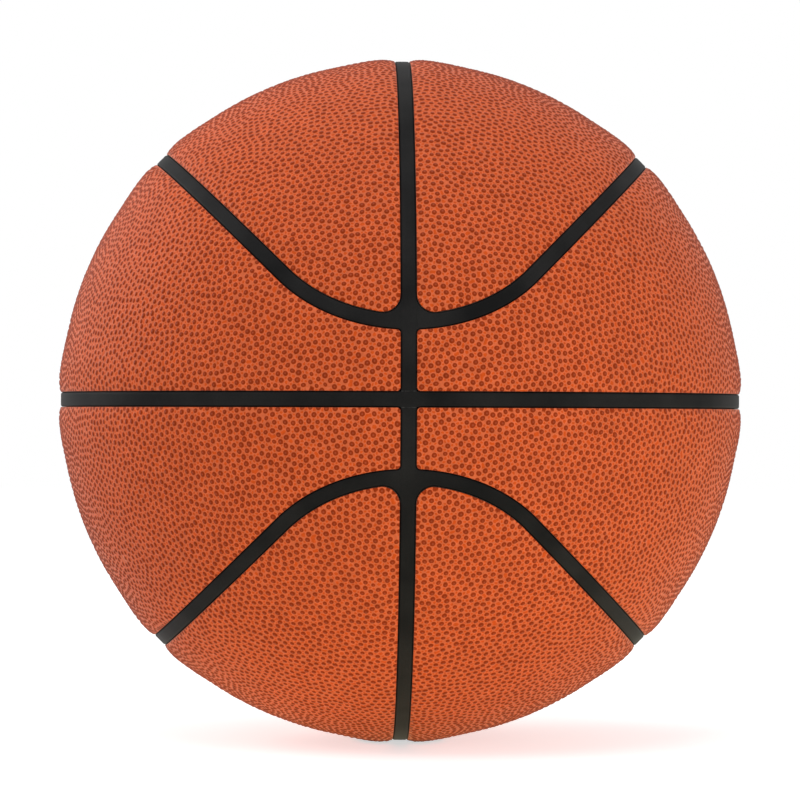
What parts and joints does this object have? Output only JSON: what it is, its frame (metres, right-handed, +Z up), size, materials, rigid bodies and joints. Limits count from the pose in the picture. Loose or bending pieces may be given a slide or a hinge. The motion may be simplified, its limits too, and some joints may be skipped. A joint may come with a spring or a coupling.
{
  "type": "basketball",
  "caption": "Inflated game ball with a pebbled cover in panels, recessed black channel strips, wound inner layers and a pull-out valve plug for an inflating needle.",
  "frame": {"origin": "centre of the ball", "axes": "+Z up, the equator channel in the plane z = 0 and the meridian channel in the plane x = 0, so that their crossing shown in the picture faces -Y"},
  "size_m": [0.2384, 0.2382, 0.2384],
  "materials": {
    "cover": "pebbled, satin",
    "channel_rubber": "matt",
    "carcass_rubber": "matt",
    "winding_thread": "wound thread",
    "bladder_rubber": "satin",
    "valve_rubber": "satin",
    "plug_rubber": "satin"
  },
  "bodies": {
    "ball": {"upper_left_crown_panel": "cover", "upper_right_crown_panel": "cover", "lower_left_crown_panel": "cover", "lower_right_crown_panel": "cover", "upper_left_waist_panel": "cover", "upper_right_waist_panel": "cover", "lower_left_waist_panel": "cover", "lower_right_waist_panel": "cover", "equator_channel": "channel_rubber", "upper_meridian_channel": "channel_rubber", "lower_meridian_channel": "channel_rubber", "upper_left_curved_channel": "channel_rubber", "upper_right_curved_channel": "channel_rubber", "lower_left_curved_channel": "channel_rubber", "lower_right_curved_channel": "channel_rubber", "carcass": "carcass_rubber", "thread_winding": "winding_thread", "bladder": "bladder_rubber", "valve_boss": "valve_rubber"},
    "valve_plug": {"valve_plug": "plug_rubber"}
  },
  "joints": [
    {"name": "valve_plug_pull", "type": "slide", "parent": "ball", "child": "valve_plug", "axis": [-0.2418, 0.6645, 0.7071], "range_m": [0, 0.03]}
  ]
}
